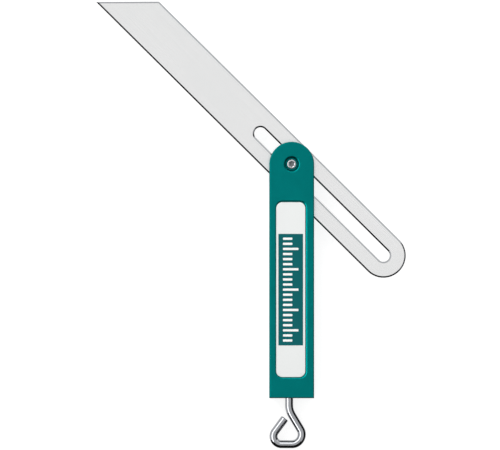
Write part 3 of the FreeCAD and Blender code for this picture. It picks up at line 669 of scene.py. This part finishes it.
def tick_surfaces():
    """Printed graduations: a row of small rounded bars on the panel, every fourth one longer."""
    size = sizes("gauge_handle")
    top = float(PANEL_HIGH[2])
    pitch, half, corner = size["tick_pitch"], size["tick_width"] / 2, 0.25
    short, long, margin, thick, sunk = 4.6, 7.6, 3.0, 0.03, 0.02
    middle = (PANEL_LOW[:2] + PANEL_HIGH[:2]) / 2
    count = int((PANEL_HIGH[1] - PANEL_LOW[1] - margin) // pitch) + 1
    places = middle[1] + (np.arange(count) - (count - 1) / 2) * pitch
    left = middle[0] - long / 2
    surfaces = []
    for number, place in enumerate(places):
        reach = long if number % 4 == 2 else short
        low = np.array([left + corner, place - half + corner])
        high = np.array([left + reach - corner, place + half - corner])
        around = tile(low[0] - 1, high[0] + 1, low[1] - 1, high[1] + 1, 0.4)
        core, line = np.clip(around, low, high), np.clip(around, (low[0], place), (high[0], place))
        rim, inner = (nearest_rim(around, low, high, radius) for radius in (corner, corner - 0.02))
        under = [lay(line, top - sunk), lay(core, top - sunk), lay(rim, top - sunk)]
        over = [lay(rim, top + thick - 0.01), lay(inner, top + thick), lay(core, top + thick)]
        surfaces.append(np.stack([*under, *over, lay(line, top + thick)]))
    return surfaces


def hexagon(flats, count):
    """A hexagon's radius at each of count equal steps: half the flats over the cosine to the nearest flat."""
    turn = 2 * np.pi * np.arange(count) / count
    return flats / 2 / np.cos((turn + np.pi / 6) % (np.pi / 3) - np.pi / 6)


def socket_profile(head, face, depth, flats, count, towards=-1.0):
    """From the head's flat to the socket's floor: a countersunk rim, hexagon walls and a drilled point."""
    hexed = hexagon(flats, count)
    # The countersink clears the hexagon's corners, which lie at 1.155 times half the flats.
    countersink, sunk, drill, drilled = 1.22 * flats / 2, 0.12, 0.35 * flats, 0.2
    return [
        (head, face),
        (countersink, face),
        (hexed, face + towards * sunk),
        (hexed, face + towards * depth),
        (drill, face + towards * (depth + 0.05)),
        (0.0, face + towards * (depth + drilled)),
    ]


def pivot_screw_surfaces():
    """The pivot screw: a rounded head with a hexagon socket, and its shank."""
    low, high = spans("pivot_screw")
    count, radius, top, rounding = 72, float(high[0]), float(high[2]), 0.5
    seat = top - 1.5
    crown = [(radius - inset, z) for inset, z in edge(rounding, top, -1, steps=8)][::-1]
    socket = socket_profile(radius - rounding - 0.05, top, depth=1.0, flats=2.5, count=count)
    tip = float(low[2])
    profile = [(0.0, tip), (SCREW_SHANK - 0.25, tip), (SCREW_SHANK, tip + 0.25), (SCREW_SHANK, seat)]
    profile += [(radius - 0.1, seat), (radius, seat + 0.1), *crown]
    return [revolved(profile + socket, even_spokes(count))]


def tail_screw_surfaces():
    """Two countersunk screws with hexagon sockets, seen from the back."""
    low, high = spans("tail_screws")
    count, face, tip = 60, float(low[2]), float(high[2])
    socket = socket_profile(2.6, face, depth=1.0, flats=2.0, count=count, towards=1.0)[::-1]
    head = [(2.78, face), (2.9, face + 0.12), (SCREW_SHANK, face + 1.35)]
    profile = socket + head + [(SCREW_SHANK, tip - 0.3), (SCREW_SHANK - 0.25, tip), (0, tip)]
    return [revolved(profile, even_spokes(count), centre) for centre in TAIL_SCREWS]


def bush_surfaces():
    """The threaded bush: a chamfered tube along the rod's axis."""
    low, high = spans("thread_bush")
    near, depth = float(low[1]), float(high[1] - low[1])
    inner, outer, lead, broken = 2.03, 2.8, 0.25, 0.15
    wall = [(inner, lead), (inner + lead, 0.0), (outer - broken, 0.0), (outer, broken)]
    wall += [(outer, depth), (inner, depth), (inner, lead)]
    return [stood_on_foot(revolved(wall, even_spokes(72), ROD_AXIS), near)]


# ---- the blade ----


def blade_surfaces():
    """The blade: one closed section of bevels and walls, carried round its outline and its slot."""
    size = sizes("gauge_blade")
    low, high = levels("blade")
    half, down, reach = size["width"] / 2, size["slot_down"], size["mitre_reach"]
    # Long enough that the bevel's corner at the mitre's tip doesn't cross its neighbours.
    step = 4 * size["edge_width"]
    outline = np.concatenate(
        [
            arc((0, -down), half, -np.pi, 0, 90),
            run((half, -down), (half, reach - half), step),
            run((half, reach - half), (-half, reach + half), step),
            run((-half, reach + half), (-half, -down), step),
        ]
    )
    normals = outwards(outline)
    slot_low, slot_high = np.array([0.0, -down]), np.array([0.0, size["slot_up"]])
    wide, deep = size["edge_width"], size["edge_depth"]
    angle = bpy.context.scene.gauge_blade.rest_angle
    # Each corner of the bevel has a second row close beside it, which keeps the shading crisp.
    upper = [(wide + 0.04, high), (wide, high - 0.01), (0.03, high - deep), (0.0, high - deep - 0.06)]
    lower = [(inset, low + high - z) for inset, z in upper]
    outer, inner = upper + lower[::-1], lower + upper[::-1]
    rows = [lay(turned(outline - inset * normals, angle), z) for inset, z in outer]
    slot = size["slot_width"] / 2
    rows += [
        lay(turned(nearest_rim(outline, slot_low, slot_high, slot + inset), angle), z) for inset, z in inner
    ]
    return [np.stack(rows + rows[:1])]


def slider_surfaces():
    """The slider block: a slot-shaped block with a round bore, turned with the blade."""
    low, high = levels("slot_slider")
    angle = bpy.context.scene.gauge_blade.rest_angle
    half_length, half_width, broken = 4.5, 3.05, 0.15
    around = 20 * even_spokes(96)
    core = np.array([0.0, half_length - half_width])
    outer = [(broken, high), (0.0, high - broken), (0.0, low + broken), (broken, low)]
    rows = [lay(turned(nearest_rim(around, -core, core, half_width - inset), angle), z) for inset, z in outer]
    rows += [lay(turned(NECK_BORE * spokes_to(around, (0, 0)), angle), z) for z in (low, high)]
    return [np.stack(rows + rows[:1])]


def washer_surfaces(node):
    """A friction washer: a thin ring with softened edges."""
    low, high = levels(node)
    soft = 0.05
    rim = 8.0
    wall = [(NECK_BORE, high), (rim - soft, high), (rim, high - soft), (rim, low + soft)]
    wall += [(rim - soft, low), (NECK_BORE, low), (NECK_BORE, high)]
    return [revolved(wall, even_spokes(96))]


# ---- the lock hook ----


def hook_path():
    """The wire's centre line and its sideways direction: straight runs between corners, with a bend at each.

    A bend starts and ends radius * tan(half its turn) from the corner, and its centre lies radius to the
    side it turns to."""
    shank_top, axis = -104.5, ROD_AXIS[0]
    # The corners as x and the drop below the handle's foot, and the radii that the wire is bent to.
    drops = [(axis, 6.6), (8.9, 23.4), (-12.7, 23.3), (-3.2, 10.5)]
    corners = np.array([(axis, shank_top)] + [(x, FOOT - drop) for x, drop in drops])
    bends = (10.0, 4.9, 3.9)
    fine, coarse, bend_step = 0.3, 1.0, 0.05
    ways = np.diff(corners, axis=0)
    ways /= np.linalg.norm(ways, axis=1)[:, None]
    points, start = [], corners[0]
    for corner, radius, way, after in zip(corners[1:], bends, ways, ways[1:]):
        swing = math.atan2(way[0] * after[1] - way[1] * after[0], way @ after)
        reach = radius * math.tan(abs(swing) / 2)
        centre = corner - reach * way + math.copysign(radius, swing) * np.array([-way[1], way[0]])
        arm = corner - reach * way - centre
        first = math.atan2(arm[1], arm[0])
        points.append(run(start, corner - reach * way, coarse if points else fine))
        points.append(arc(centre, radius, first, first + swing, max(8, round(abs(swing) / bend_step))))
        start = corner + reach * after
    points = np.concatenate([*points, run(start, corners[-1], fine), corners[-1:]])
    ahead = np.gradient(points, axis=0)
    ahead /= np.linalg.norm(ahead, axis=1)[:, None]
    return points, np.column_stack([ahead[:, 1], -ahead[:, 0]])


def hook_surfaces():
    """The wire: centre + r(s) * (cos a * sideways + sin a * up), with r(s) drawn in to the chamfered ends."""
    size = sizes("gauge_hook")
    radius, chamfer = size["wire"] / 2, size["chamfer"]
    centres, sideways = hook_path()
    travelled = np.concatenate([[0.0], np.cumsum(np.linalg.norm(np.diff(centres, axis=0), axis=1))])
    to_end = np.minimum(travelled, travelled[-1] - travelled)
    radii = radius - np.clip(chamfer - to_end, 0, chamfer)
    order = np.concatenate([[0], np.arange(len(centres)), [len(centres) - 1]])
    radii = np.concatenate([[0.0], radii, [0.0]])
    around = bpy.context.scene.gauge_hook.around
    turn = 2 * np.pi * np.arange(around) / around
    across = radii[:, None] * np.cos(turn)
    flat = centres[order][:, None, :] + across[..., None] * sideways[order][:, None, :]
    up = ROD_AXIS[1] + radii[:, None] * np.sin(turn)
    return [np.concatenate([flat, up[..., None]], axis=-1)]


# ---- operators ----


class GaugeOperator(bpy.types.Operator):
    """Common ground of the gauge's operators."""

    bl_options = {"REGISTER", "UNDO"}


class GAUGE_OT_cheeks(GaugeOperator):
    """Adds the handle's two cheeks"""

    bl_idname = "gauge.cheeks"
    bl_label = "Cheeks"

    def execute(self, context):
        material = anodised_aluminium()
        face = levels("front_cheek")[1]

        def on_cut(centres, normals):
            """The cut bevel of the label recess and the rounded rim of the pivot dish."""
            inside = np.abs(centres[:, 0]) < HALF - 2
            near_face = centres[:, 2] > face - 1.2
            slanted = (normals[:, 2] > 0.1) & (normals[:, 2] < 0.97)
            return inside & near_face & slanted

        add_piece(
            "front_cheek_body",
            front_cheek_surfaces(),
            material,
            "handle",
            ["front_cheek"],
            accent=(cut_anodised(), on_cut),
        )
        back = back_cheek_surfaces()
        add_piece("back_cheek_body", back, material, "handle", ["back_cheek"])
        return {"FINISHED"}


class GAUGE_OT_tail(GaugeOperator):
    """Adds the end spacer, the tail screws and the thread bush"""

    bl_idname = "gauge.tail"
    bl_label = "Tail fittings"

    def execute(self, context):
        plain = turned_metal("milled_aluminium", tone("aluminium"), 0.38)
        add_piece("end_spacer_block", spacer_surfaces(), plain, "handle", ["end_spacer"])
        screws = tail_screw_surfaces()
        add_piece("tail_screw_pair", screws, zinc_plate(), "handle", ["tail_screws"])
        brass = turned_metal("turned_brass", tone("brass"), 0.24)
        add_piece("thread_bush_ring", bush_surfaces(), brass, "handle", ["thread_bush"])
        return {"FINISHED"}


class GAUGE_OT_label(GaugeOperator):
    """Adds the label plate, its printed panel and the graduations"""

    bl_idname = "gauge.label"
    bl_label = "Label"

    def execute(self, context):
        corner = sizes("gauge_handle")["plate_corner"]
        plate = plate_surfaces(PLATE_LOW, PLATE_HIGH, corner, 0.12)
        add_piece("label_plate_body", plate, lacquered_label(), "handle", ["label_plate"])
        panel = plate_surfaces(PANEL_LOW, PANEL_HIGH, 0.2, 0.03)
        panel_ink = printed_ink("screen_print_teal", tone("panel"))
        add_piece("label_panel_print", panel, panel_ink, "handle", ["label_panel"])
        white_ink = printed_ink("screen_print_white", tone("ink"))
        add_piece("label_graduations", tick_surfaces(), white_ink, "handle")
        return {"FINISHED"}


class GAUGE_OT_pivot(GaugeOperator):
    """Adds the pivot screw, the slider block and the friction washers, and finishes the barrel"""

    bl_idname = "gauge.pivot"
    bl_label = "Pivot"

    def execute(self, context):
        steel = turned_metal("turned_steel", tone("turned"), 0.14)
        # A darker, rougher steel for the socket's walls and floor: painted shade where the socket lies in
        # shadow.
        painted_socket_shade = turned_metal("broached_steel", tone("socket"), 0.45)
        face = levels("pivot_screw")[1]

        def in_socket(centres, normals):
            """The socket's walls and floor, which take the darker steel that paints the shade inside the
            socket.
            """
            inside = np.hypot(centres[:, 0], centres[:, 1]) < 1.6
            below_face = face - centres[:, 2]
            return inside & (below_face > 0.07) & (below_face < 1.3)

        add_piece(
            "pivot_screw_body",
            pivot_screw_surfaces(),
            steel,
            "clamp_bolt",
            ["pivot_screw"],
            accent=(painted_socket_shade, in_socket),
        )
        dress_node("pivot_barrel", steel)
        brass = turned_metal("milled_brass", tone("brass"), 0.3)
        add_piece("slot_slider_block", slider_surfaces(), brass, "slot_guide", ["slot_slider"])
        nylon = moulded_nylon()
        for node in ("friction_washer_back", "friction_washer_front"):
            add_piece(f"{node}_ring", washer_surfaces(node), nylon, "slot_guide", [node])
        return {"FINISHED"}


class GAUGE_OT_blade(GaugeOperator):
    """Adds the slotted blade"""

    bl_idname = "gauge.blade"
    bl_label = "Blade"

    def execute(self, context):
        ground = turned_metal("ground_steel_edge", tone("edge"), 0.16)

        def on_edge(centres, normals):
            """Every face but the two flats."""
            return np.abs(normals[:, 2]) < 0.99

        add_piece(
            "blade_strip",
            blade_surfaces(),
            brushed_stainless(),
            "blade",
            ["blade"],
            sharp=20.0,
            accent=(ground, on_edge),
        )
        return {"FINISHED"}


class GAUGE_OT_lock(GaugeOperator):
    """Adds the lock hook, and finishes the push rod and its spring"""

    bl_idname = "gauge.lock"
    bl_label = "Lock"

    def execute(self, context):
        wire = hook_surfaces()
        add_piece("lock_hook_wire", wire, bright_chrome(), "lock_hook", ["lock_hook"])
        drawn = finish("drawn_steel_rod", tone("turned"), 0.28, 1.0, (0.15, 12.0, 0.15), 0.003, 0.05, 0.06)
        dress_node("push_rod", drawn)
        spring = finish("oiled_spring_steel", linear("#6F7276"), 0.35, 1.0, (0.2, 0.2, 0.2), 0.003, 0.1, 0.08)
        dress_node("return_spring", spring)
        return {"FINISHED"}


def dress_node(name, material):
    """Gives a CAD node that stays shown its finish, in its object's own material slots."""
    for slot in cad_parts[name].material_slots:
        slot.link = "OBJECT"
        slot.material = material


class GAUGE_OT_stage(GaugeOperator):
    """Adds the floor, the studio light and the camera"""

    bl_idname = "gauge.stage"
    bl_label = "Stage"

    def execute(self, context):
        scene = context.scene
        scene.view_settings.view_transform = "Standard"
        add_floor()
        add_cards()
        add_light()
        add_camera()
        return {"FINISHED"}


def add_stage_mesh(name, points, material, wraps=False):
    """A stage surface from one grid of points in metres."""
    mesh = bpy.data.meshes.new(name)
    rows, columns = points.shape[:2]
    mesh.from_pydata(points.reshape(-1, 3).tolist(), [], quads(rows, columns, wraps).tolist())
    item = bpy.data.objects.new(name, mesh)
    item.data.materials.append(material)
    bpy.context.scene.collection.objects.link(item)
    return item


def add_floor():
    """A pale matt sheet under the gauge, from one large flat grid.

    It is lit from below as well, as a light table is, and bright metal doesn't mirror it."""
    paper = finish("matt_paper", linear("#A8A8A8"), 0.85, 0.0, (1.5, 1.5, 1.5), 0.01, 0.004, 0.03, 60.0)
    shader = paper.node_tree.nodes["Principled BSDF"]
    shader.inputs["Emission Color"].default_value = (1, 1, 1, 1)
    shader.inputs["Emission Strength"].default_value = 0.78
    shader.inputs["Specular IOR Level"].default_value = 0.1
    x, y = np.meshgrid(np.linspace(-4, 4, 9), np.linspace(-4, 4, 9))
    sheet = add_stage_mesh("floor_sheet", np.stack([x, y, np.full_like(x, -0.0002)], axis=-1), paper)
    sheet.visible_glossy = False


def add_card(name, azimuths, elevations, material, radius=3.0):
    """A card bent to a part of a sphere about the gauge, seen only by reflections."""
    turn, rise = np.meshgrid(np.radians(np.linspace(*azimuths, 25)), np.radians(np.linspace(*elevations, 9)))
    ball = np.stack([np.cos(rise) * np.cos(turn), np.cos(rise) * np.sin(turn), np.sin(rise)], axis=-1)
    card = add_stage_mesh(name, np.array([-0.02, -0.03, 0.0]) + radius * ball, material)
    card.visible_camera = card.visible_diffuse = card.visible_shadow = False
    return card


def add_cards():
    """Black cards on the near and right sides, which line bright metal, and glowing ones on the others."""
    black = finish("black_felt", linear("#0A0A0B"), 0.95, 0.0, (0.8, 0.8, 0.8), 0.05, 0.3, 0.03)
    add_card("near_black_card", (206, 318), (-38, 35), black)
    add_card("high_black_card", (222, 318), (35, 56), black)
    add_card("right_black_card", (318, 392), (-38, 36), black)
    # The flat blade would vanish against the floor where it mirrors a glowing card, so they don't light it.
    shaded = bpy.data.collections.new("not_lit_by_cards")
    shaded.objects.link(bpy.data.objects["blade_strip"])
    shaded.collection_objects[0].light_linking.link_state = "EXCLUDE"
    for name, azimuths, elevations, glow in (
        ("far_white_card", (118, 222), (36, 60), 3.0),
        ("high_white_card", (70, 118), (48, 64), 3.0),
        ("side_pale_card", (33, 70), (-20, 56), 0.2),
    ):
        white = finish(f"{name}_paper", linear("#F4F4F4"), 0.9, 0.0, (0.8, 0.8, 0.8), 0.05, 0.01, 0.03)
        shader = white.node_tree.nodes["Principled BSDF"]
        shader.inputs["Emission Color"].default_value = (1, 1, 1, 1)
        shader.inputs["Emission Strength"].default_value = glow
        card = add_card(name, azimuths, elevations, white)
        card.light_linking.receiver_collection = shaded


def add_light():
    """A bright even sky with one large soft lamp, high on the left and far side."""
    world = bpy.data.worlds.new("studio")
    world.use_nodes = True
    world.node_tree.nodes["Background"].inputs["Color"].default_value = (1.0, 1.0, 1.0, 1.0)
    world.node_tree.nodes["Background"].inputs["Strength"].default_value = 0.8
    bpy.context.scene.world = world
    lamp = bpy.data.lights.new("soft_lamp", "AREA")
    # Metres and watts.
    lamp.shape, lamp.size, lamp.size_y, lamp.energy = "RECTANGLE", 0.8, 0.5, 4.2
    item = bpy.data.objects.new("soft_lamp", lamp)
    place = np.array([-0.38, 0.58, 0.55])
    item.location = place
    # Tilted and turned so that it faces the pivot.
    tilt = math.atan2(float(np.hypot(*place[:2])), place[2])
    item.rotation_euler = (tilt, 0, math.atan2(place[0], -place[1]))
    item.visible_camera = item.visible_glossy = False
    bpy.context.scene.collection.objects.link(item)


def add_camera():
    """A camera straight above the gauge, its frame 246 mm wide at the reference height."""
    distance, frame_width, reference = 1.6, 0.24605, 0.012
    camera = bpy.data.cameras.new("camera")
    camera.sensor_width = 36.0
    camera.lens = 36.0 * distance / frame_width
    camera.clip_start, camera.clip_end = 0.05, 20.0
    item = bpy.data.objects.new("camera", camera)
    item.location = (-0.0205, -0.0299, distance + reference)
    bpy.context.scene.collection.objects.link(item)
    bpy.context.scene.camera = item


OPERATORS = (
    GAUGE_OT_cheeks,
    GAUGE_OT_tail,
    GAUGE_OT_label,
    GAUGE_OT_pivot,
    GAUGE_OT_blade,
    GAUGE_OT_lock,
    GAUGE_OT_stage,
)


class VIEW3D_PT_bevel_gauge(bpy.types.Panel):
    """Lists the gauge's operators and its sizes and colours"""

    bl_label = "Bevel gauge"
    bl_category = "Bevel gauge"
    bl_space_type = "VIEW_3D"
    bl_region_type = "UI"

    def draw(self, context):
        for operator in OPERATORS:
            self.layout.operator(operator.bl_idname)
        for group, kind in GROUPS.items():
            values = getattr(context.scene, group)
            box = self.layout.box()
            for name in kind.__annotations__:
                box.prop(values, name)


def register():
    """Registers the classes and hangs the property groups on the scene."""
    for kind in (*GROUPS.values(), *OPERATORS, VIEW3D_PT_bevel_gauge):
        bpy.utils.register_class(kind)
    for name, kind in GROUPS.items():
        setattr(bpy.types.Scene, name, PointerProperty(type=kind))


def unregister():
    """Takes the property groups off the scene and unregisters the classes."""
    for name in GROUPS:
        delattr(bpy.types.Scene, name)
    for kind in reversed((*GROUPS.values(), *OPERATORS, VIEW3D_PT_bevel_gauge)):
        bpy.utils.unregister_class(kind)


def main():
    """Registers the add-on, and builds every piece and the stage."""
    register()
    for operator in OPERATORS:
        group, name = operator.bl_idname.split(".")
        getattr(getattr(bpy.ops, group), name)()


if __name__ == "__main__":
    main()
